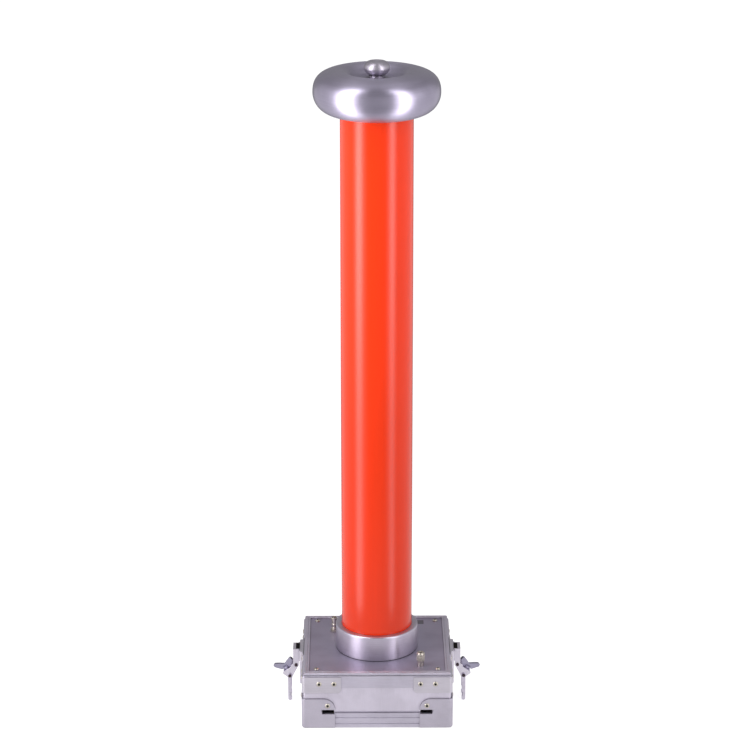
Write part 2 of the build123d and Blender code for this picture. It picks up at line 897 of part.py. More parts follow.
def terminal_knob():
    """The squat ball terminal on its waisted neck, with a blind tapped bore."""
    drop = terminal_ball_height * math.sqrt(1 - (terminal_neck_radius / terminal_ball_radius) ** 2)
    start = -math.degrees(math.asin(drop / terminal_ball_height))
    rise = (terminal_height - terminal_ball_centre) / terminal_ball_height
    finish = math.degrees(math.asin(rise))
    ball = EllipticalCenterArc(
        (0, terminal_ball_centre), terminal_ball_radius, terminal_ball_height, start, arc_size=finish - start
    )
    crown = terminal_ball_radius * math.sqrt(1 - rise ** 2)
    neck = ThreePointArc(
        (terminal_foot_radius, terminal_foot_height),
        (terminal_waist_radius, terminal_waist_height),
        ball @ 0,
    )
    bore = stud_radius + stud_fit
    foot = Polyline((bore, terminal_bore_depth), (bore, 0), (terminal_foot_radius, 0), neck @ 0)
    top = Polyline(ball @ 1, (0, terminal_height), (0, terminal_bore_depth), (bore, terminal_bore_depth))
    knob = turned_face(make_face([foot, neck, ball, top]))
    rings = knob.edges().filter_by(GeomType.CIRCLE)
    rim = [e for e in rings if abs(e.radius - crown) < 0.01 and e.center().Z > terminal_bore_depth]
    return Pos(0, 0, ring_floor_top) * only_solid(fillet(rim, terminal_edge))


def terminal_stud():
    """The stud that clamps the ring's floor between the top cap and the knob."""
    low = ring_floor_bottom - stud_engagement
    high = ring_floor_top + terminal_bore_depth
    return peg((0, 0, low), (0, 0, 1), stud_radius, high - low)


def board_corners():
    """The low-voltage board's four fixing points."""
    x = board_width / 2 - standoff_inset
    y = board_depth / 2 - standoff_inset
    return [(sx * x, sy * y) for sx in (-1, 1) for sy in (-1, 1)]


def low_voltage_board():
    """The board that carries the low-voltage arm."""
    board = Pos(0, 0, board_bottom + board_thickness / 2) * Box(board_width, board_depth, board_thickness)
    depth = board_thickness + 2
    holes = [peg((x, y, board_top + 1), (0, 0, -1), screw_shank_radius, depth) for x, y in board_corners()]
    return only_solid(board - holes)


def board_standoffs():
    """Four pillars with a spigot through the board."""
    low = board_bottom - standoff_height
    spigot = screw_shank_radius - stud_fit
    pillar = turned(
        (0, low),
        (standoff_radius, low),
        (standoff_radius, board_bottom),
        (spigot, board_bottom),
        (spigot, board_top + 1),
        (0, board_top + 1),
    )
    return Compound(children=[Pos(x, y, 0) * pillar for x, y in board_corners()])


def low_voltage_parts():
    """The low-voltage arm's capacitors and resistors, as one group."""
    parts = []
    for index in range(capacitor_count):
        x = (index - (capacitor_count - 1) / 2) * capacitor_spacing
        parts.append(peg((x, capacitor_offset, board_top), (0, 0, 1), capacitor_radius, capacitor_height))
    for index in range(resistor_count):
        x = (index - (resistor_count - 1) / 2) * resistor_spacing
        start = (x, resistor_offset - resistor_length / 2, board_top + resistor_radius)
        parts.append(peg(start, (0, 1, 0), resistor_radius, resistor_length))
    return Compound(children=parts)


def hex_nut(across_flats, bore, height):
    """A plain hexagon nut standing on Z = 0."""
    return extrude(RegularPolygon(across_flats / 2, 6, major_radius=False) - Circle(bore), amount=height)


def lock_nuts():
    """The nuts that hold the socket and the post, above and below the panel."""
    socket = hex_nut(socket_nut_across_flats, socket_thread_radius + hole_fit, socket_nut_height)
    post = hex_nut(lock_nut_across_flats, post_stud_radius + hole_fit, lock_nut_height)
    return Compound(children=[
        Pos(socket_x, socket_y, panel_top) * socket,
        Pos(socket_x, socket_y, panel_bottom - socket_nut_height) * socket,
        Pos(post_x, post_y, panel_bottom - lock_nut_height) * post,
    ])


def socket_shell():
    """The coaxial socket's turned body with a collar and a ring, and two bayonet lugs."""
    tail = -socket_tail
    top = socket_height
    bore_floor = top - socket_bore_depth
    collar_top = socket_collar_level + socket_collar_height
    ring_top = socket_ring_level + socket_ring_height
    body = turned(
        (socket_insulator_radius, tail),
        (socket_thread_radius, tail),
        (socket_thread_radius, socket_collar_level - socket_slope),
        (socket_collar_radius, socket_collar_level),
        (socket_collar_radius, collar_top),
        (socket_waist_radius, collar_top + socket_slope),
        (socket_waist_radius, socket_ring_level - socket_slope),
        (socket_ring_radius, socket_ring_level),
        (socket_ring_radius, ring_top),
        (socket_shell_radius, ring_top + socket_slope),
        (socket_shell_radius, top - 0.4),
        (socket_shell_radius - 0.3, top),
        (socket_bore_radius, top),
        (socket_bore_radius, bore_floor),
        (socket_insulator_radius, bore_floor),
    )
    lug_z = top - socket_lug_drop
    wall = (socket_shell_radius + socket_bore_radius) / 2
    for side in (-1, 1):
        body = body + peg((side * wall, 0, lug_z), (side, 0, 0), socket_lug_radius, socket_lug_reach - wall)
    return only_solid(Pos(socket_x, socket_y, panel_top) * body)


def socket_insulator():
    """The insulating sleeve inside the socket."""
    inner = socket_contact_radius + 0.02
    outer = socket_insulator_radius - 0.02
    high = socket_height - socket_insulator_depth
    return Pos(socket_x, socket_y, panel_top) * turned(
        (inner, -socket_tail), (outer, -socket_tail), (outer, high), (inner, high)
    )


def socket_contact():
    """The socket's centre contact, with its solder tail."""
    tail = socket_tail + 4
    high = socket_height - socket_insulator_depth - 0.5
    return peg((socket_x, socket_y, panel_top - tail), (0, 0, 1), socket_contact_radius, high + tail)


def post_stud():
    """The earth post's collar and stud, with the bore that takes a plug."""
    bore_floor = post_stud_height - post_plug_depth
    body = turned(
        (0, -post_tail),
        (post_stud_radius, -post_tail),
        (post_stud_radius, 0),
        (post_collar_radius, 0),
        (post_collar_radius, post_collar_height),
        (post_stud_radius, post_collar_height),
        (post_stud_radius, post_stud_height),
        (post_plug_radius, post_stud_height),
        (post_plug_radius, bore_floor),
        (0, bore_floor),
    )
    return Pos(post_x, post_y, panel_top) * body


def post_washer():
    """The loose clamping washer between the collar and the thumb nut."""
    inner = post_stud_radius + post_running_fit
    low = panel_top + post_collar_height
    ring = Circle(post_washer_radius) - Circle(inner)
    return Pos(post_x, post_y, low) * extrude(ring, amount=post_washer_thickness)


def post_thumb_nut():
    """The thumb nut: coned foot, fluted grip, groove, plain band and the plug opening."""
    low = post_collar_height + post_washer_thickness
    high = low + post_nut_height
    bore = post_stud_radius + post_running_fit
    mouth = post_plug_radius + 0.1
    groove_high = high - post_nut_band
    groove_low = groove_high - post_nut_groove
    groove_radius = post_nut_radius - post_nut_groove_depth
    body = turned(
        (bore, low),
        (post_collar_radius, low),
        (post_nut_radius, low + post_nut_cone),
        (post_nut_radius, groove_low),
        (groove_radius, groove_low),
        (groove_radius, groove_high),
        (post_nut_radius, groove_high),
        (post_nut_radius, high - post_nut_chamfer),
        (post_nut_face_radius, high),
        (mouth, high),
        (mouth, high - post_nut_roof),
        (bore, high - post_nut_roof),
    )
    flute_low = low + post_nut_cone
    flute_high = groove_low
    flute = Box(post_flute_depth * 2, post_flute_depth * 2, flute_high - flute_low)
    middle = (flute_low + flute_high) / 2
    step = 360 / post_flute_count
    flutes = [
        Rot(0, 0, step * index) * Pos(post_nut_radius, 0, middle) * Rot(0, 0, 45) * flute
        for index in range(post_flute_count)
    ]
    return only_solid(Pos(post_x, post_y, panel_top) * (body - flutes))


def side_prism(sketch, y_low, y_high):
    """A latch outline drawn as (u, z), given its width along Y, on the right-hand wall."""
    plane = Plane(origin=(wall_x, y_low, 0), x_dir=(1, 0, 0), z_dir=(0, -1, 0))
    return extrude(plane * sketch, amount=-(y_high - y_low))


def both_sides(sketch, y_inner, y_outer):
    """The same latch outline at both ends of the mechanism."""
    return side_prism(sketch, y_inner, y_outer) + side_prism(sketch, -y_outer, -y_inner)


def hub_point(along, above):
    """A point in the wing's plane: along the carrier's face, and above it, as (u, z)."""
    tilt = math.radians(hub_tilt)
    u = hub_u + along * math.cos(tilt) + above * math.sin(tilt)
    z = hub_z - along * math.sin(tilt) + above * math.cos(tilt)
    return u, z


link_eye_u, link_eye_z = hub_point(link_eye_shift, -link_eye_drop)


def latch_plate():
    """The pressed latch plate: a raised pan with a riveted flange at each side."""
    middle_z = (latch_plate_bottom + latch_plate_top) / 2
    height = latch_plate_top - latch_plate_bottom
    pan = Pos(wall_x + latch_plate_height / 2, 0, middle_z) * Box(
        latch_plate_height, 2 * latch_plate_half_width, height
    )
    face = pan.faces().sort_by(Axis.X)[-1]
    pan = fillet(face.edges(), latch_plate_round)
    hollow_depth = latch_plate_height - latch_plate_wall
    hollow = Pos(wall_x + hollow_depth / 2, 0, middle_z) * Box(
        hollow_depth, 2 * (latch_plate_half_width - latch_plate_wall), height - 2 * latch_plate_wall
    )
    plate = pan - hollow
    reach = latch_plate_half_width + latch_plate_flange
    flat = (wall_x, wall_x + latch_plate_wall)
    levels = (latch_plate_bottom, latch_plate_top)
    overlap = latch_plate_half_width - latch_plate_wall
    plate = plate + block(flat, (overlap, reach), levels) + block(flat, (-reach, -overlap), levels)
    holes = [rivet_hole(point, direction, frame_wall) for point, direction in latch_rivet_points()]
    return only_solid(plate - holes)


def latch_yoke():
    """The folded yoke on the plate: two cheeks, an upper web with a lip, and two feet."""
    upper = Polygon(
        (latch_plate_height, yoke_foot_bottom),
        (yoke_reach, yoke_foot_bottom),
        (yoke_reach, yoke_top),
        (latch_plate_height, yoke_top),
        align=None,
    )
    lower = Polygon(
        (latch_plate_height + yoke_step, latch_hinge_z),
        (latch_hinge_u + yoke_eye_radius, latch_hinge_z),
        (yoke_reach, yoke_foot_bottom),
        (latch_plate_height + yoke_step, yoke_foot_bottom),
        align=None,
    )
    eye = Pos(latch_hinge_u, latch_hinge_z) * Circle(yoke_eye_radius)
    hole = Pos(latch_hinge_u, latch_hinge_z) * Circle(latch_pin_radius + latch_pin_fit)
    cheek = upper + lower + eye - hole
    inner = yoke_half_width - yoke_sheet
    yoke = both_sides(cheek, inner, yoke_half_width)
    web_x = (wall_x + yoke_reach - yoke_sheet, wall_x + yoke_reach)
    yoke = yoke + block(web_x, (-yoke_half_width, yoke_half_width), (yoke_web_bottom, yoke_top))
    lip_x = (wall_x + yoke_reach - yoke_sheet - yoke_lip, wall_x + yoke_reach)
    yoke = yoke + block(lip_x, (-yoke_half_width, yoke_half_width), (yoke_top - yoke_sheet, yoke_top))
    foot_x = (wall_x + latch_plate_height, wall_x + latch_plate_height + yoke_sheet)
    for side in (-1, 1):
        ends = sorted((side * inner, side * (yoke_half_width + yoke_foot_width)))
        yoke = yoke + block(foot_x, ends, (yoke_foot_bottom, yoke_top - yoke_sheet))
    return only_solid(yoke)


def latch_buffer():
    """The rubber block between the yoke's cheeks."""
    half = yoke_half_width - yoke_sheet - buffer_side_gap
    x_range = (wall_x + latch_plate_height, wall_x + latch_plate_height + buffer_thickness)
    top = yoke_top - buffer_side_gap
    return block(x_range, (-half, half), (top - buffer_height, top))


def latch_carrier():
    """The swinging carrier: two cheeks on the hinge pin and a face that bears the wing."""
    hinge = Pos(latch_hinge_u, latch_hinge_z) * Circle(carrier_eye_radius)
    link = Pos(link_eye_u, link_eye_z) * Circle(link_boss_radius)
    outer = Pos(*hub_point(hub_outer_reach, -hub_outer_round)) * Circle(hub_outer_round)
    inner = Pos(*hub_point(-hub_inner_reach, -hub_inner_round)) * Circle(hub_inner_round)
    hull = make_hull([*hinge.edges(), *link.edges(), *outer.edges(), *inner.edges()])
    bore = latch_pin_radius + latch_pin_fit
    holes = Pos(latch_hinge_u, latch_hinge_z) * Circle(bore) + Pos(link_eye_u, link_eye_z) * Circle(bore)
    above_face = Polygon(
        hub_point(-hub_inner_reach, 0),
        hub_point(hub_outer_reach + hub_outer_round, 0),
        hub_point(hub_outer_reach + hub_outer_round, hub_ramp_rise),
        hub_point(-hub_inner_reach - hub_ramp_run, hub_ramp_rise),
        align=None,
    )
    cheek = hull - holes - above_face
    sides = both_sides(cheek, carrier_half_width - carrier_sheet, carrier_half_width)
    web = Polygon(
        hub_point(-hub_inner_reach, 0),
        hub_point(-hub_inner_reach, -carrier_sheet),
        hub_point(hub_outer_reach, -carrier_sheet),
        hub_point(hub_outer_reach, 0),
        align=None,
    )
    carrier = sides + side_prism(web, -carrier_half_width, carrier_half_width)
    plane = hub_plane()
    bore_radius = wing_shaft_radius + latch_pin_fit
    shaft_bore = extrude(plane * Circle(bore_radius), amount=carrier_sheet * 2, both=True)
    return only_solid(carrier - shaft_bore)


def hub_plane():
    """The plane of the carrier's face on the right-hand side, its normal along the wing's axis."""
    tilt = math.radians(hub_tilt)
    return Plane(
        origin=(wall_x + hub_u, 0, hub_z),
        x_dir=(math.cos(tilt), 0, -math.sin(tilt)),
        z_dir=(math.sin(tilt), 0, math.cos(tilt)),
    )


def latch_pins():
    """The hinge pin and the link pin, each with a head at both ends."""
    pins = []
    for u, z, outside in (
        (latch_hinge_u, latch_hinge_z, yoke_half_width),
        (link_eye_u, link_eye_z, carrier_half_width + carrier_side_gap + link_strap_thickness),
    ):
        reach = outside + carrier_side_gap
        length = reach + latch_pin_head_height
        pin = turned(
            (0, -length),
            (latch_pin_head_radius, -length),
            (latch_pin_head_radius, -reach),
            (latch_pin_radius, -reach),
            (latch_pin_radius, reach),
            (latch_pin_head_radius, reach),
            (latch_pin_head_radius, length),
            (0, length),
        )
        pins.append(Pos(wall_x + u, 0, z) * Rot(90, 0, 0) * pin)
    return pins


def latch_wing():
    """The butterfly wing on its shaft, with the locking cam under the carrier's face."""
    crown = wing_reach * 0.8
    half = [
        (wing_root, wing_lift),
        (wing_reach, wing_tip_height),
        (wing_reach - 0.9, wing_crown_height - 0.6),
        (crown, wing_crown_height),
        (crown * 0.5, wing_crown_height * 0.79),
    ]
    mirrored = [(-x, y) for x, y in reversed(half)]
    outline = Polygon(*half, (0, wing_waist_height), *mirrored, align=None)
    tips = [v for v in outline.vertices() if abs(v.X) > wing_root + 1 and v.Y > wing_lift + 1]
    outline = fillet(tips, wing_tip_round)
    blade = extrude(Plane.XZ * outline, amount=wing_thickness / 2, both=True)
    boss = Pos(0, 0, wing_lift) * extrude(Circle(wing_boss_radius), amount=wing_boss_height)
    shaft = Pos(0, 0, -wing_shaft_length) * extrude(
        Circle(wing_shaft_radius), amount=wing_shaft_length + wing_lift
    )
    cam_top = -carrier_sheet - wing_lift
    cam_bottom = cam_top - wing_cam_thickness
    cam = Pos(0, 0, cam_bottom) * extrude(Circle(wing_cam_radius), amount=wing_cam_thickness)
    wing = Rot(0, 0, wing_angle) * (blade + boss) + shaft + cam
    return only_solid(hub_plane().location * wing)


def latch_link():
    """The hanging link: two notched straps on the link pin, joined by a round bar."""
    end_z = link_foot_clearance + link_strap_width / 2
    drop = link_eye_z - end_z
    middle = (link_eye_z + end_z) / 2
    strap = Pos(link_eye_u, middle) * SlotCenterToCenter(drop, link_strap_width, rotation=quarter_turn)
    eye = Pos(link_eye_u, link_eye_z) * Circle(latch_pin_radius + latch_pin_fit)
    notch_u = link_eye_u - link_strap_width / 2 + link_notch_width / 2
    notch_z = end_z + link_notch_rise + link_notch_length / 2
    notch = Pos(notch_u, notch_z) * SlotOverall(link_notch_length, link_notch_width, rotation=quarter_turn)
    mouth_u = notch_u - link_notch_width / 2
    opening = Pos(mouth_u, notch_z) * Rectangle(link_notch_width, link_notch_length * 0.5)
    inner = carrier_half_width + carrier_side_gap
    straps = both_sides(strap - eye - notch - opening, inner, inner + link_strap_thickness)
    bar = Pos(link_eye_u, end_z + link_bar_rise) * Circle(link_bar_radius)
    return only_solid(straps + side_prism(bar, -inner - 0.5, inner + 0.5))


def add(name, shape):
    """Keep a node under its name."""
    nodes[name] = shape


def add_pair(name, shape):
    """Keep a right-hand latch piece and its left-hand mirror image."""
    add(name + "_right", shape)
    add(name + "_left", mirror(shape, about=Plane.YZ))


def build():
    """Make every node."""
    holes = wall_rivet_holes()
    for side, bar in bottom_frame(holes).items():
        add("bottom_frame_" + side, bar)
    for side, bar in top_frame(holes).items():
        add("top_frame_" + side, bar)
    for side, sheet in side_sheets(holes).items():
        add("side_sheet_" + side, sheet)
    for corner, piece in upper_brackets().items():
        add("upper_bracket_" + corner, piece)
    for corner, piece in lower_caps().items():
        add("lower_cap_" + corner, piece)
    add("case_rivets", case_rivets())
    add("bottom_plate", bottom_plate())
    add("top_panel", top_panel())
    add("panel_screws", panel_screws())
    add("column_flange", column_flange())
    add("flange_screws", flange_screws())
    add("column_tube", column_tube())
    add("bottom_plug", bottom_plug())
    add("top_cap", top_cap())
    add("support_rods", support_rods())
    add("divider_modules", divider_modules())
    add("contact_spring", contact_spring())
    add("signal_rod", signal_rod())
    add("corona_ring", corona_ring())
    add("terminal_knob", terminal_knob())
    add("terminal_stud", terminal_stud())
    add("low_voltage_board", low_voltage_board())
    add("board_standoffs", board_standoffs())
    add("low_voltage_parts", low_voltage_parts())
    add("lock_nuts", lock_nuts())
    add("socket_shell", socket_shell())
    add("socket_insulator", socket_insulator())
    add("socket_contact", socket_contact())
    add("post_stud", post_stud())
    add("post_washer", post_washer())
    add("post_thumb_nut", post_thumb_nut())
    add_pair("latch_plate", latch_plate())
    add_pair("latch_yoke", latch_yoke())
    add_pair("latch_buffer", latch_buffer())
    add_pair("latch_carrier", latch_carrier())
    pins = latch_pins()
    add("latch_pins_right", Compound(children=pins))
    add("latch_pins_left", Compound(children=[mirror(pin, about=Plane.YZ) for pin in pins]))
    add_pair("latch_wing", latch_wing())
    add_pair("latch_link", latch_link())


build()
os.makedirs("parts", exist_ok=True)
for node_name, node_shape in nodes.items():
    export_step(node_shape, "parts/" + node_name + ".step")
print(len(nodes), "nodes written")
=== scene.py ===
import bmesh
import bpy
import json
import math
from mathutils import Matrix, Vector


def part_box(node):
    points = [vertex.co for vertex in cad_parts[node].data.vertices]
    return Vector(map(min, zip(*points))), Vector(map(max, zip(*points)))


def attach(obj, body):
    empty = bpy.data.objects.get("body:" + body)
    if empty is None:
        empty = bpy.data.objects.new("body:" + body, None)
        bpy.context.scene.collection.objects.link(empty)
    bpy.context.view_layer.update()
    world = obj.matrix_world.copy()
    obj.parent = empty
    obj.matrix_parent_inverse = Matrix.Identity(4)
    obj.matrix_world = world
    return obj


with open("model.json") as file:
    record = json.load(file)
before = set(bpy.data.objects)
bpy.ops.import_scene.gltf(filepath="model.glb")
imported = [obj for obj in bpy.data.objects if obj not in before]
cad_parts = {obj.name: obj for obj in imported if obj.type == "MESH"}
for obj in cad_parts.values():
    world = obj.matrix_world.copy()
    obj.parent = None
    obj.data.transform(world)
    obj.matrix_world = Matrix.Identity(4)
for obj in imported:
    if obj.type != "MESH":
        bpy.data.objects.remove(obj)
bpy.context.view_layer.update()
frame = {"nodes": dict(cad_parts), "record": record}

cadNodes = frame["nodes"]
print("frame loaded:", len(cadNodes), "pieces")


# Node tree helpers

nodeSpacing = 200
mixSockets = {"RGBA": (6, 7, 2), "FLOAT": (2, 3, 0)}  # A, B and Result of a Mix node, for each kind of data


def addNode(tree, kind, spotX, spotY, **settings):
    node = tree.nodes.new(kind)
    node.location = (spotX * nodeSpacing, spotY * nodeSpacing)
    for key, value in settings.items():
        setattr(node, key, value)
    return node


def link(tree, fromSocket, toSocket):
    tree.links.new(fromSocket, toSocket)


def feed(tree, value, socket):
    # A number or a vector is set on the socket, and another node's output is linked to it
    if isinstance(value, (int, float, tuple)):
        socket.default_value = value
    else:
        link(tree, value, socket)


def newGroup(name, inputs, outputs):
    group = bpy.data.node_groups.new(name, "ShaderNodeTree")
    for label, kind, value in inputs:
        socket = group.interface.new_socket(label, in_out="INPUT", socket_type=kind)
        socket.default_value = value
    for label, kind in outputs:
        group.interface.new_socket(label, in_out="OUTPUT", socket_type=kind)
    start = addNode(group, "NodeGroupInput", -5, 0)
    end = addNode(group, "NodeGroupOutput", 5, 0)
    return group, start, end


def useGroup(tree, group, spotX, spotY, **values):
    node = addNode(tree, "ShaderNodeGroup", spotX, spotY, node_tree=group)
    for label, value in values.items():
        node.inputs[label].default_value = value
    return node


def mathNode(tree, operation, spotX, spotY, *values):
    node = addNode(tree, "ShaderNodeMath", spotX, spotY, operation=operation)
    for value, socket in zip(values, node.inputs):
        feed(tree, value, socket)
    return node.outputs[0]


def vectorNode(tree, operation, spotX, spotY, first, second):
    node = addNode(tree, "ShaderNodeVectorMath", spotX, spotY, operation=operation)
    feed(tree, first, node.inputs[0])
    feed(tree, second, node.inputs["Scale" if operation == "SCALE" else 1])
    return node.outputs["Value" if operation in ("DOT_PRODUCT", "DISTANCE") else "Vector"]


def mixNode(tree, kind, spotX, spotY, factor, first, second):
    node = addNode(tree, "ShaderNodeMix", spotX, spotY, data_type=kind)
    firstSocket, secondSocket, result = mixSockets[kind]
    for value, index in ((factor, 0), (first, firstSocket), (second, secondSocket)):
        feed(tree, value, node.inputs[index])
    return node.outputs[result]


def noiseNode(tree, spotX, spotY, vector, scale, look):
    node = addNode(tree, "ShaderNodeTexNoise", spotX, spotY)
    link(tree, vector, node.inputs["Vector"])
    feed(tree, scale, node.inputs["Scale"])
    node.inputs["Detail"].default_value = look["detail"]
    node.inputs["Roughness"].default_value = look["roughness"]
    return node.outputs["Fac"]


def smoothMap(tree, spotX, spotY, value, fromPair, toPair):
    # An eased step from one value to another
    node = addNode(tree, "ShaderNodeMapRange", spotX, spotY, interpolation_type="SMOOTHSTEP")
    link(tree, value, node.inputs["Value"])
    node.inputs["From Min"].default_value, node.inputs["From Max"].default_value = fromPair
    for label, amount in zip(("To Min", "To Max"), toPair):
        feed(tree, amount, node.inputs[label])
    return node.outputs["Result"]


def splitParts(tree, spotX, spotY, vector):
    node = addNode(tree, "ShaderNodeSeparateXYZ", spotX, spotY)
    link(tree, vector, node.inputs[0])
    return node.outputs


# Shared effects

evenShade = 0.5  # the grain's shade that leaves a colour as it is
smoothest = 0.05  # no roughness on the object goes below this


def endGrain(group, start, end, lines):
    # The grain's shade about the even one, by the group's contrast, and its height for relief
    centred = mathNode(group, "SUBTRACT", 2, 1, lines, evenShade)
    spread = mathNode(group, "MULTIPLY", 3, 1, centred, start.outputs["Contrast"])
    link(group, mathNode(group, "ADD", 4, 1, spread, evenShade), end.inputs["Shade"])
    link(group, lines, end.inputs["Height"])


def endMask(group, start, end, measure, span):
    # An eased mask from a measure, scaled by the group's amount
    eased = smoothMap(group, 2, 0, measure, span, (0.0, 1.0))
    link(group, mathNode(group, "MULTIPLY", 3, 0, eased, start.outputs["Amount"]), end.inputs["Mask"])


drawnLines = {"scale": 1.0, "detail": 3.0, "roughness": 0.65}


def makeDrawnGrain():
    # Fine lines along one direction, as on drawn, rolled or brushed metal
    group, start, end = newGroup(
        "drawnGrain",
        [("Stretch", "NodeSocketVector", (40, 3000, 3000)), ("Contrast", "NodeSocketFloat", 0.5)],
        [("Shade", "NodeSocketFloat"), ("Height", "NodeSocketFloat")],
    )
    place = addNode(group, "ShaderNodeTexCoord", -4, 1)
    scaled = vectorNode(group, "MULTIPLY", -3, 1, place.outputs["Object"], start.outputs["Stretch"])
    endGrain(group, start, end, noiseNode(group, -2, 1, scaled, drawnLines["scale"], drawnLines))
    return group


turnedRings = {"detail": 3.0, "roughness": 0.6, "wander": 0.0006}  # wander: a ring's change on its way round


def makeTurnedGrain():
    # Fine rings about an upright axis, as a lathe or a spinning tool leaves them
    group, start, end = newGroup(
        "turnedGrain",
        [
            ("Centre", "NodeSocketVector", (0, 0, 0)),
            ("Fineness", "NodeSocketFloat", 2500.0),
            ("Contrast", "NodeSocketFloat", 0.5),
        ],
        [("Shade", "NodeSocketFloat"), ("Height", "NodeSocketFloat")],
    )
    place = addNode(group, "ShaderNodeTexCoord", -4, 1)
    moved = vectorNode(group, "SUBTRACT", -3, 1, place.outputs["Object"], start.outputs["Centre"])
    parts = splitParts(group, -2, 1, moved)
    across = mathNode(group, "POWER", -1, 2, parts["X"], 2.0)
    along = mathNode(group, "POWER", -1, 1, parts["Y"], 2.0)
    radius = mathNode(group, "SQRT", 0, 1, mathNode(group, "ADD", 0, 2, across, along))
    angle = mathNode(group, "ARCTAN2", -1, 0, parts["Y"], parts["X"])
    rings = addNode(group, "ShaderNodeCombineXYZ", 1, 1)
    link(group, radius, rings.inputs["X"])
    link(group, parts["Z"], rings.inputs["Y"])
    link(group, mathNode(group, "MULTIPLY", 0, 0, angle, turnedRings["wander"]), rings.inputs["Z"])
    lines = noiseNode(group, 1, 0, rings.outputs[0], start.outputs["Fineness"], turnedRings)
    endGrain(group, start, end, lines)
    return group


handlingClouds = {"detail": 5.0, "roughness": 0.55, "span": (0.35, 0.72)}


def makeHandling():
    # Soft clouds of handling and dust
    group, start, end = newGroup(
        "handling",
        [("Scale", "NodeSocketFloat", 18.0), ("Amount", "NodeSocketFloat", 0.3)],
        [("Mask", "NodeSocketFloat")],
    )
    place = addNode(group, "ShaderNodeTexCoord", -4, 1)
    clouds = noiseNode(group, -3, 1, place.outputs["Object"], start.outputs["Scale"], handlingClouds)
    endMask(group, start, end, clouds, handlingClouds["span"])
    return group


rubbedEdges = {"samples": 6, "span": (0.98, 0.80)}


def makeEdgeRub():
    # Finds sharp edges, where a finish is rubbed brighter, and rounds their normal
    group, start, end = newGroup(
        "edgeRub",
        [("Radius", "NodeSocketFloat", 0.0004), ("Amount", "NodeSocketFloat", 0.5)],
        [("Mask", "NodeSocketFloat"), ("Normal", "NodeSocketVector")],
    )
    rounded = addNode(group, "ShaderNodeBevel", -3, 1, samples=rubbedEdges["samples"])
    link(group, start.outputs["Radius"], rounded.inputs["Radius"])
    flat = addNode(group, "ShaderNodeNewGeometry", -3, -1)
    facing = vectorNode(group, "DOT_PRODUCT", -2, 0, rounded.outputs["Normal"], flat.outputs["True Normal"])
    endMask(group, start, end, facing, rubbedEdges["span"])
    link(group, rounded.outputs["Normal"], end.inputs["Normal"])
    return group


closedSeams = {"samples": 8, "span": (0.75, 0.15)}


def makePaintedSeamShade():
    # Painted shade: finds seams, corners and the foot of a piece, where light doesn't reach, as a mask that
    # darkens the colour
    group, start, end = newGroup(
        "paintedSeamShade",
        [("Reach", "NodeSocketFloat", 0.003), ("Amount", "NodeSocketFloat", 0.5)],
        [("Mask", "NodeSocketFloat")],
    )
    closed = addNode(group, "ShaderNodeAmbientOcclusion", -3, 0, samples=closedSeams["samples"])
    link(group, start.outputs["Reach"], closed.inputs["Distance"])
    endMask(group, start, end, closed.outputs["AO"], closedSeams["span"])
    return group


def makeToneMix():
    # One base colour, scaled by a shade and dimmed by clouds, then lifted at rubbed edges and darkened by
    # painted shade in seams
    group, start, end = newGroup(
        "toneMix",
        [
            ("Colour", "NodeSocketColor", (0.5, 0.5, 0.5, 1)),
            ("Shade", "NodeSocketFloat", evenShade),
            ("Clouds", "NodeSocketFloat", 0.0),
            ("Edge", "NodeSocketFloat", 0.0),
            ("Edge Colour", "NodeSocketColor", (0.9, 0.9, 0.9, 1)),
            ("Seam", "NodeSocketFloat", 0.0),
        ],
        [("Colour", "NodeSocketColor")],
    )
    gain = mathNode(group, "MULTIPLY", -3, 1, start.outputs["Shade"], 1 / evenShade)
    dimmed = mathNode(group, "SUBTRACT", -3, 0, gain, start.outputs["Clouds"])
    scaled = vectorNode(group, "SCALE", -2, 1, start.outputs["Colour"], dimmed)
    lifted = mixNode(group, "RGBA", 0, 1, start.outputs["Edge"], scaled, start.outputs["Edge Colour"])
    # The seam mask takes colour away: painted shade in seams, corners and at a piece's foot
    unshadedShare = mathNode(group, "SUBTRACT", 1, 0, 1.0, start.outputs["Seam"])
    link(group, vectorNode(group, "SCALE", 2, 1, lifted, unshadedShare), end.inputs["Colour"])
    return group


def makeRoughMix():
    # A roughness that the grain moves up and down and clouds raise
    group, start, end = newGroup(
        "roughMix",
        [
            ("Roughness", "NodeSocketFloat", 0.3),
            ("Shade", "NodeSocketFloat", evenShade),
            ("Clouds", "NodeSocketFloat", 0.0),
            ("Spread", "NodeSocketFloat", 0.2),
        ],
        [("Roughness", "NodeSocketFloat")],
    )
    centred = mathNode(group, "SUBTRACT", -3, 1, start.outputs["Shade"], evenShade)
    moved = mathNode(group, "ADD", -2, 1, centred, start.outputs["Clouds"])
    spread = mathNode(group, "MULTIPLY", -1, 1, moved, start.outputs["Spread"])
    total = mathNode(group, "ADD", 0, 1, spread, start.outputs["Roughness"])
    clamped = addNode(group, "ShaderNodeClamp", 1, 1)
    clamped.inputs["Min"].default_value = smoothest
    link(group, total, clamped.inputs["Value"])
    link(group, clamped.outputs[0], end.inputs["Roughness"])
    return group


drawnGrain = makeDrawnGrain()
turnedGrain = makeTurnedGrain()
handling = makeHandling()
edgeRub = makeEdgeRub()
paintedSeamShade = makePaintedSeamShade()
toneMix = makeToneMix()
roughMix = makeRoughMix()
print("shared effects made")


# Materials

def colour4(colour):
    return (*colour, 1.0)


def startMaterial(name):
    material = bpy.data.materials.new(name)
    material.use_nodes = True
    tree = material.node_tree
    shader = tree.nodes["Principled BSDF"]
    shader.location = (4 * nodeSpacing, 0)
    return material, tree, shader


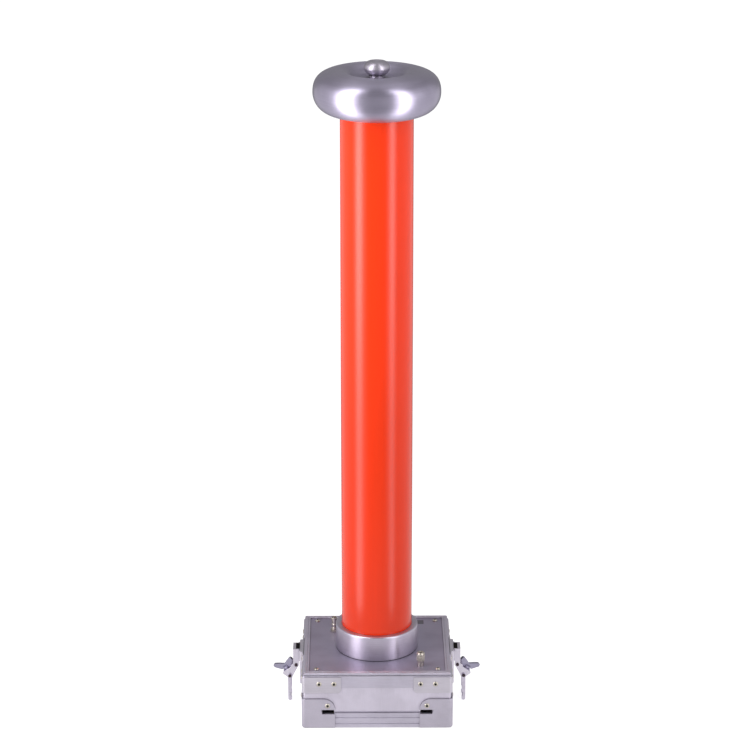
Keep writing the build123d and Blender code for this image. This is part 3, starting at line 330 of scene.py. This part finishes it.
def finishSurface(tree, shader, look, grain):
    # Colour, roughness and relief from a grain, handling clouds, rubbed edges and painted shade in seams
    clouds = useGroup(tree, handling, -3, -2, Scale=look["cloudScale"], Amount=look["cloudAmount"])
    edges = useGroup(tree, edgeRub, -3, -4, Radius=look["edgeRadius"], Amount=look["edgeAmount"])
    # Painted shade in seams and corners, by each look's reach and amount
    seams = useGroup(tree, paintedSeamShade, -3, -6, Reach=look["seamReach"], Amount=look["seamAmount"])
    tone = useGroup(tree, toneMix, 0, 2, Colour=colour4(look["colour"]))
    tone.inputs["Edge Colour"].default_value = colour4(look["edgeColour"])
    link(tree, grain.outputs["Shade"], tone.inputs["Shade"])
    link(tree, clouds.outputs["Mask"], tone.inputs["Clouds"])
    link(tree, edges.outputs["Mask"], tone.inputs["Edge"])
    link(tree, seams.outputs["Mask"], tone.inputs["Seam"])
    link(tree, tone.outputs["Colour"], shader.inputs["Base Color"])
    rough = useGroup(tree, roughMix, 0, 0, Roughness=look["roughness"], Spread=look["roughSpread"])
    link(tree, grain.outputs["Shade"], rough.inputs["Shade"])
    link(tree, clouds.outputs["Mask"], rough.inputs["Clouds"])
    link(tree, rough.outputs["Roughness"], shader.inputs["Roughness"])
    relief = addNode(tree, "ShaderNodeBump", 2, -2)
    relief.inputs["Strength"].default_value = look["reliefStrength"]
    relief.inputs["Distance"].default_value = look["reliefDepth"]
    link(tree, grain.outputs["Height"], relief.inputs["Height"])
    link(tree, edges.outputs["Normal"], relief.inputs["Normal"])
    link(tree, relief.outputs["Normal"], shader.inputs["Normal"])
    shader.inputs["Metallic"].default_value = look["metallic"]
    shader.inputs["Specular IOR Level"].default_value = look["specular"]


metalBase = {
    "colour": (0.55, 0.54, 0.57), "edgeColour": (0.8, 0.79, 0.82),
    "roughness": 0.34, "roughSpread": 0.25, "metallic": 1.0, "specular": 0.5,
    "cloudScale": 22.0, "cloudAmount": 0.12,
    # seamReach and seamAmount set the painted shade in seams and corners
    "edgeRadius": 0.0004, "edgeAmount": 0.35, "seamReach": 0.003, "seamAmount": 0.75,
    "reliefStrength": 0.25, "reliefDepth": 0.00004,
    "stretch": (30, 2600, 2600), "contrast": 0.18,
}


def drawnMetal(name, **changes):
    look = {**metalBase, **changes}
    material, tree, shader = startMaterial(name)
    grain = useGroup(tree, drawnGrain, -3, 1, Stretch=look["stretch"], Contrast=look["contrast"])
    finishSurface(tree, shader, look, grain)
    return material


turnedBase = {**metalBase, "centre": (0, 0, 0), "fineness": 2500.0, "spun": 0.7, "spunTurn": 0.25}


def turnedMetal(name, **changes):
    look = {**turnedBase, **changes}
    material, tree, shader = startMaterial(name)
    spin = addNode(tree, "ShaderNodeTangent", 2, -5, direction_type="RADIAL", axis="Z")
    link(tree, spin.outputs[0], shader.inputs["Tangent"])
    shader.inputs["Anisotropic"].default_value = look["spun"]
    shader.inputs["Anisotropic Rotation"].default_value = look["spunTurn"]
    grain = useGroup(
        tree, turnedGrain, -3, 1, Centre=look["centre"], Fineness=look["fineness"], Contrast=look["contrast"]
    )
    finishSurface(tree, shader, look, grain)
    return material


plasticBase = {"metallic": 0.0, "stretch": (900, 900, 900), "contrast": 0.06}


def mouldedPlastic(name, **changes):
    # A plastic's fine mottle is the drawn grain with the same stretch all ways
    return drawnMetal(name, **{**plasticBase, **changes})


columnLook = {
    "colour": (0.85, 0.0355, 0.0008), "edgeColour": (0.85, 0.10, 0.02),
    "roughness": 0.16, "roughSpread": 0.08, "specular": 0.40,
    "cloudScale": 5.0, "cloudAmount": 0.05,
    "edgeRadius": 0.0005, "edgeAmount": 0.2,
    "reliefStrength": 0.08, "reliefDepth": 0.00005,
    "stretch": (260, 260, 4), "contrast": 0.03,
}

slotMaterials = {
    "case_extrusion": drawnMetal("caseExtrusion", colour=(0.60, 0.56, 0.67), roughness=0.42, metallic=0.85),
    "case_sheet": drawnMetal(
        "caseSheet", colour=(0.715, 0.665, 0.78), roughness=0.5, metallic=0.75,
        stretch=(1800, 1800, 40), contrast=0.1
    ),
    "corner_bracket": drawnMetal("cornerBracket", colour=(0.62, 0.58, 0.66), roughness=0.4, metallic=0.85),
    "corner_cap": drawnMetal(
        "cornerCap", colour=(0.555, 0.515, 0.61), roughness=0.45, metallic=0.8,
        stretch=(700, 700, 700), contrast=0.1
    ),
    "panel": drawnMetal(
        "panelFinish", colour=(0.378, 0.34, 0.45), edgeColour=(0.55, 0.54, 0.58),
        roughness=0.45, metallic=0.7, stretch=(14, 2200, 2200)
    ),
    # The fasteners' strong painted shade darkens their recesses almost to black
    "fastener": drawnMetal(
        "nickelFastener", colour=(0.62, 0.57, 0.50), roughness=0.28, stretch=(900, 900, 900),
        seamReach=0.002, seamAmount=0.97
    ),
    "column_orange": mouldedPlastic("orangeColumn", **columnLook),
    # The flange's wider painted shade darkens its top near the column
    "turned_aluminium": turnedMetal(
        "turnedFlange", colour=(0.645, 0.585, 0.70), roughness=0.36, contrast=0.25,
        seamReach=0.022, seamAmount=0.55
    ),
    # The ring's wide, strong painted shade darkens its well
    "corona_aluminium": turnedMetal(
        "spunCoronaRing", colour=(0.47, 0.43, 0.56), roughness=0.34, contrast=0.16, fineness=1800.0,
        seamReach=0.045, seamAmount=0.9
    ),
    "terminal": turnedMetal(
        "terminalKnob", colour=(0.52, 0.48, 0.56), roughness=0.4, contrast=0.1, spun=0.4
    ),
    "steel_stud": turnedMetal("steelStud", roughness=0.3),
    "insulating_resin": mouldedPlastic("insulatingResin", colour=(0.60, 0.52, 0.34), roughness=0.45),
    "module_epoxy": mouldedPlastic("moduleEpoxy", colour=(0.05, 0.07, 0.12), roughness=0.35),
    "contact_brass": drawnMetal("contactBrass", colour=(0.72, 0.54, 0.24), roughness=0.3),
    "board": mouldedPlastic("boardMask", colour=(0.03, 0.22, 0.09), roughness=0.3),
    "component": mouldedPlastic("dippedComponent", colour=(0.10, 0.16, 0.30), roughness=0.35),
    "socket_nickel": turnedMetal(
        "socketNickel", colour=(0.66, 0.60, 0.53), roughness=0.18, contrast=0.1, centre=(-0.067, 0.054, 0.0)
    ),
    "socket_insulator": mouldedPlastic("socketInsulator", colour=(0.85, 0.84, 0.80), roughness=0.4),
    # The post's strong painted shade darkens its recesses
    "post_metal": turnedMetal(
        "postNickel", colour=(0.66, 0.60, 0.54), roughness=0.26, contrast=0.1, centre=(0.0675, -0.0785, 0.0),
        seamReach=0.0025, seamAmount=0.95
    ),
    "latch_steel": drawnMetal(
        "latchSteel", colour=(0.73, 0.685, 0.78), roughness=0.3, stretch=(600, 600, 60)
    ),
    "latch_wing": drawnMetal(
        "latchWing", colour=(0.395, 0.37, 0.49), roughness=0.32, stretch=(500, 500, 500)
    ),
    "latch_pin": drawnMetal(
        "latchPin", colour=(0.07, 0.05, 0.06), edgeColour=(0.16, 0.13, 0.15), roughness=0.35,
        stretch=(500, 500, 500)
    ),
    "buffer_rubber": mouldedPlastic(
        "bufferRubber", colour=(0.006, 0.005, 0.005), edgeColour=(0.02, 0.018, 0.018), roughness=0.8,
        specular=0.1
    ),
}

# The hanging links share the latches' steel in the solids; here they get a darker, rougher copy of it, and
# its darker colour is painted shade
linkShadedSteel = drawnMetal(
    "latchLinkShaded", colour=(0.66, 0.61, 0.72), roughness=0.38, stretch=(500, 500, 500), contrast=0.3
)
nodeMaterials = {"latch_link_left": linkShadedSteel, "latch_link_right": linkShadedSteel}

for entry in frame["record"]["subparts"]:
    piece = cadNodes[entry["node"]]
    piece.data.materials.clear()
    piece.data.materials.append(nodeMaterials.get(entry["node"], slotMaterials[entry["material_slot"]]))
print("materials placed")


# Small pieces that ride on the case

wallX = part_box("bottom_frame_right")[1].x
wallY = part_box("bottom_frame_back")[1].y
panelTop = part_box("top_panel")[1].z


def closeRings(mesh, rings):
    # Faces between each ring of points and the next, and a cap on both ends
    for lower, upper in zip(rings, rings[1:]):
        for index in range(len(lower)):
            after = (index + 1) % len(lower)
            mesh.faces.new((lower[index], lower[after], upper[after], upper[index]))
    mesh.faces.new(list(reversed(rings[0])))
    mesh.faces.new(rings[-1])


def newPiece(name, mesh, material):
    data = bpy.data.meshes.new(name)
    mesh.to_mesh(data)
    mesh.free()
    data.materials.append(material)
    piece = bpy.data.objects.new(name, data)
    bpy.context.scene.collection.objects.link(piece)
    return piece


# Each stem's outline goes as (radius, height) from inside the rivet's hollow to the broken tip
rivetStems = {
    "outline": (
        (0.0014, -0.0009), (0.0014, 0.00145), (0.0020, 0.00152),
        (0.0019, 0.00162), (0.0013, 0.00166), (0.0004, 0.0015),
    ),
    "bracketSkin": 0.0013, "bracketSetbacks": (0.0252, 0.0482), "bracketHeight": 0.075,
    "capSkin": 0.002, "capSetback": 0.0382, "capHeight": 0.0386,
    "plateSkin": 0.0015, "plateReach": 0.0285, "plateHeights": (0.048, 0.080), "sides": 16,
}


def rivetPlaces():
    # Where each rivet's hollow opens on the case: the skin's point and the way outwards
    look = rivetStems
    rows = [(setback, look["bracketHeight"], look["bracketSkin"]) for setback in look["bracketSetbacks"]]
    rows.append((look["capSetback"], look["capHeight"], look["capSkin"]))
    places = []
    for sideX in (-1, 1):
        for sideY in (-1, 1):
            for setback, height, skin in rows:
                places.append(((sideX * (wallX - setback), sideY * (wallY + skin), height), (0, sideY, 0)))
                places.append(((sideX * (wallX + skin), sideY * (wallY - setback), height), (sideX, 0, 0)))
            for height in look["plateHeights"]:
                spot = (sideX * (wallX + look["plateSkin"]), sideY * look["plateReach"], height)
                places.append((spot, (sideX, 0, 0)))
    return places


def makeStems():
    # The broken mandrels in the outer rivets, all in one mesh: near black, partly the real steel mandrels
    # and partly painted shade of the rivets' hollows
    mesh = bmesh.new()
    turns = [2 * math.pi * index / rivetStems["sides"] for index in range(rivetStems["sides"])]
    for spot, direction in rivetPlaces():
        facing = Vector(direction).to_track_quat("Z", "Y")
        rings = []
        for radius, height in rivetStems["outline"]:
            points = [Vector((radius * math.cos(turn), radius * math.sin(turn), height)) for turn in turns]
            rings.append([mesh.verts.new(Vector(spot) + facing @ point) for point in points])
        closeRings(mesh, rings)
    # Near-black steel: painted shade of the rivets' hollows on the real mandrels
    stemSteelAndShade = drawnMetal(
        "rivetStemSteelAndShade", colour=(0.02, 0.018, 0.02), edgeColour=(0.05, 0.045, 0.05), roughness=0.5,
        metallic=0.5
    )
    stems = newPiece("rivet_stems", mesh, stemSteelAndShade)
    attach(stems, "case")


legend = {
    "place": (0.0699, 0.0878), "size": (0.0118, 0.0150), "corner": 0.0008, "height": 0.00012, "steps": 5,
}


def makeLegend():
    # The bare printed field at the panel's rear right
    mesh = bmesh.new()
    halfX, halfY = (side / 2 - legend["corner"] for side in legend["size"])
    outline = []
    for quarter, (signX, signY) in enumerate(((1, 1), (-1, 1), (-1, -1), (1, -1))):
        for step in range(legend["steps"]):
            turn = math.pi / 2 * (quarter + step / (legend["steps"] - 1))
            x = signX * halfX + legend["corner"] * math.cos(turn)
            y = signY * halfY + legend["corner"] * math.sin(turn)
            outline.append((legend["place"][0] + x, legend["place"][1] + y))
    levels = [panelTop + height for height in (0, legend["height"])]
    closeRings(mesh, [[mesh.verts.new((*point, level)) for point in outline] for level in levels])
    ink = mouldedPlastic(
        "legendInk", colour=(0.11, 0.10, 0.13), edgeColour=(0.2, 0.19, 0.22), roughness=0.5,
        stretch=(2500, 2500, 2500), contrast=0.25
    )
    piece = newPiece("panel_legend", mesh, ink)
    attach(piece, "case")


makeStems()
makeLegend()
print("small pieces made")


# Floor and background, white to the camera and a calm grey room in reflections

def mirrorRays(tree, path, spotX, spotY):
    glossy = path.outputs["Is Glossy Ray"]
    return mathNode(tree, "MAXIMUM", spotX, spotY, glossy, path.outputs["Is Transmission Ray"])


# Reflections see a floor that is bright round the object and towards both sides, dim in front and behind
floorLook = {
    "radius": 14.0, "sides": 96, "sink": 0.0003, "colour": 0.80, "lift": 0.70,
    "tableCentre": (0, -0.1, 0), "tableReach": (0.25, 1.1), "tableGlow": 0.90,
    "frontGlow": 0.42, "turnover": (-0.5, 0.8), "backGlow": 0.30,
    "sideReach": (0.40, 0.62), "sideGlow": 0.85,
}


def mirroredFloor(tree):
    look = floorLook
    place = addNode(tree, "ShaderNodeTexCoord", -7, -3)
    reach = vectorNode(tree, "DISTANCE", -6, -3, place.outputs["Object"], look["tableCentre"])
    parts = splitParts(tree, -6, -5, place.outputs["Object"])
    middle = smoothMap(tree, -4, -5, parts["Y"], look["turnover"], (look["frontGlow"], look["backGlow"]))
    across = mathNode(tree, "ABSOLUTE", -5, -6, parts["X"])
    sideways = mathNode(tree, "DIVIDE", -4, -6, across, reach)
    outer = smoothMap(tree, -3, -5, sideways, look["sideReach"], (middle, look["sideGlow"]))
    return smoothMap(tree, -2, -4, reach, look["tableReach"], (look["tableGlow"], outer))


def makeFloor():
    bpy.ops.mesh.primitive_circle_add(
        vertices=floorLook["sides"], radius=floorLook["radius"], fill_type="NGON",
        location=(0, 0, -floorLook["sink"])
    )
    floor = bpy.context.object
    floor.name = "studioFloor"
    material = bpy.data.materials.new("floorPaper")
    material.use_nodes = True
    tree = material.node_tree
    tree.nodes.clear()
    paper = addNode(tree, "ShaderNodeBsdfDiffuse", 0, 1)
    paper.inputs["Color"].default_value = colour4([floorLook["colour"]] * 3)
    path = addNode(tree, "ShaderNodeLightPath", -4, -1)
    glow = addNode(tree, "ShaderNodeEmission", 0, -1)
    lift = mathNode(tree, "MULTIPLY", -1, -1, path.outputs["Is Camera Ray"], floorLook["lift"])
    link(tree, lift, glow.inputs["Strength"])
    both = addNode(tree, "ShaderNodeAddShader", 1, 0)
    link(tree, paper.outputs[0], both.inputs[0])
    link(tree, glow.outputs[0], both.inputs[1])
    mirrored = addNode(tree, "ShaderNodeEmission", 0, -3)
    link(tree, mirroredFloor(tree), mirrored.inputs["Strength"])
    seen = addNode(tree, "ShaderNodeMixShader", 2, 0)
    link(tree, mirrorRays(tree, path, -3, -2), seen.inputs[0])
    link(tree, both.outputs[0], seen.inputs[1])
    link(tree, mirrored.outputs[0], seen.inputs[2])
    output = addNode(tree, "ShaderNodeOutputMaterial", 3, 0)
    link(tree, seen.outputs[0], output.inputs["Surface"])
    floor.data.materials.append(material)


roomLook = {
    "white": 1.0, "ambient": 0.46, "grey": 0.34,
    "sideReach": (0.55, 0.95), "sideGlow": 0.42,
    "horizonReach": (0.0, 0.5), "horizonGlow": 0.40, "frontReach": (-0.2, 0.3),
    "ceilingWay": (0, 0.45, 0.893), "ceilingReach": (0.82, 0.98), "ceilingGlow": 0.28,
}


def mirroredRoom(tree):
    # Reflections see a grey room, lighter to both sides, low down in front and at the ceiling
    look = roomLook
    place = addNode(tree, "ShaderNodeTexCoord", -8, 0)
    parts = splitParts(tree, -7, 0, place.outputs["Generated"])
    sideways = mathNode(tree, "ABSOLUTE", -6, 2, parts["X"])
    sides = smoothMap(tree, -5, 2, sideways, look["sideReach"], (0.0, look["sideGlow"]))
    low = smoothMap(tree, -6, 0, parts["Z"], look["horizonReach"], (look["horizonGlow"], 0.0))
    horizon = smoothMap(tree, -5, 0, parts["Y"], look["frontReach"], (low, 0.0))
    towards = vectorNode(tree, "DOT_PRODUCT", -6, -2, place.outputs["Generated"], look["ceilingWay"])
    above = smoothMap(tree, -5, -2, towards, look["ceilingReach"], (0.0, look["ceilingGlow"]))
    glow = mathNode(tree, "ADD", -4, 1, mathNode(tree, "ADD", -5, 1, sides, horizon), above)
    return mathNode(tree, "ADD", -3, 1, glow, look["grey"])


def makeWorld():
    world = bpy.data.worlds.new("studioWorld")
    bpy.context.scene.world = world
    world.use_nodes = True
    tree = world.node_tree
    tree.nodes.clear()
    path = addNode(tree, "ShaderNodeLightPath", -4, 3)
    mirrors = mirrorRays(tree, path, -3, 3)
    lit = mixNode(tree, "FLOAT", -2, 0, mirrors, roomLook["ambient"], mirroredRoom(tree))
    seen = mixNode(tree, "FLOAT", -1, 0, path.outputs["Is Camera Ray"], lit, roomLook["white"])
    background = addNode(tree, "ShaderNodeBackground", 0, 0)
    background.inputs["Color"].default_value = (1, 1, 1, 1)
    link(tree, seen, background.inputs["Strength"])
    output = addNode(tree, "ShaderNodeOutputWorld", 1, 0)
    link(tree, background.outputs[0], output.inputs["Surface"])


# Softboxes: the angle is measured from the camera's side. Each glows most along its middle, and fades
# towards its foot and its crown.

softboxes = {
    "leftBox": {"angle": -54.5, "distance": 0.42, "width": 0.33, "height": 2.7, "low": 0.01, "power": 7.0},
    "rightBox": {"angle": 46, "distance": 0.42, "width": 0.27, "height": 2.7, "low": 0.01, "power": 3.6},
}
softboxGlow = {
    "middle": 0.5, "core": (0.03, 0.42), "hot": 2.7, "rim": 0.28,
    "foot": (0.08, 0.28), "footGlow": 0.45, "crown": (0.5, 1.0), "crownGlow": 0.03,
}


def shadeSoftbox(tree):
    look = softboxGlow
    place = addNode(tree, "ShaderNodeNewGeometry", -6, 0)
    parts = splitParts(tree, -5, 0, place.outputs["Parametric"])
    away = mathNode(tree, "ABSOLUTE", -3, 0, mathNode(tree, "SUBTRACT", -4, 0, parts["X"], look["middle"]))
    core = smoothMap(tree, -2, 0, away, look["core"], (look["hot"], look["rim"]))
    rise = smoothMap(tree, -2, -2, parts["Y"], look["foot"], (look["footGlow"], 1.0))
    fall = smoothMap(tree, -2, -4, parts["Y"], look["crown"], (1.0, look["crownGlow"]))
    upright = mathNode(tree, "MULTIPLY", -1, -2, rise, fall)
    link(tree, mathNode(tree, "MULTIPLY", -1, 0, core, upright), tree.nodes["Emission"].inputs["Strength"])


def makeSoftbox(name, box):
    data = bpy.data.lights.new(name, "AREA")
    data.shape = "RECTANGLE"
    data.size = box["width"]
    data.size_y = box["height"]
    data.energy = box["power"]
    data.use_nodes = True
    shadeSoftbox(data.node_tree)
    lamp = bpy.data.objects.new(name, data)
    turn = math.radians(box["angle"])
    spot = Vector((math.sin(turn), -math.cos(turn), 0)) * box["distance"]
    spot.z = box["low"] + box["height"] / 2
    lamp.location = spot
    inwards = Vector((-spot.x, -spot.y, 0))
    lamp.rotation_euler = inwards.to_track_quat("-Z", "Y").to_euler()
    lamp.visible_camera = False
    bpy.context.scene.collection.objects.link(lamp)


# The photograph's viewpoint: level across, 19 degrees down

viewpoint = {
    "distance": 4.2467, "height": 2.0021, "aside": -0.0027, "turn": -0.4, "tilt": 71.0,
    "lens": 141.3, "sensor": 36.0,
}


def makeCamera():
    data = bpy.data.cameras.new("photoCamera")
    data.lens = viewpoint["lens"]
    data.sensor_width = viewpoint["sensor"]
    data.sensor_fit = "HORIZONTAL"
    camera = bpy.data.objects.new("photoCamera", data)
    turn = math.radians(viewpoint["turn"])
    forward = Vector((-math.sin(turn), math.cos(turn), 0))
    sideways = Vector((math.cos(turn), math.sin(turn), 0))
    camera.location = sideways * viewpoint["aside"] - forward * viewpoint["distance"]
    camera.location.z = viewpoint["height"]
    camera.rotation_euler = (math.radians(viewpoint["tilt"]), 0, turn)
    bpy.context.scene.collection.objects.link(camera)
    bpy.context.scene.camera = camera


makeFloor()
makeWorld()
for boxName, boxLook in softboxes.items():
    makeSoftbox(boxName, boxLook)
makeCamera()
bpy.context.scene.view_settings.view_transform = "Standard"
print("studio made")
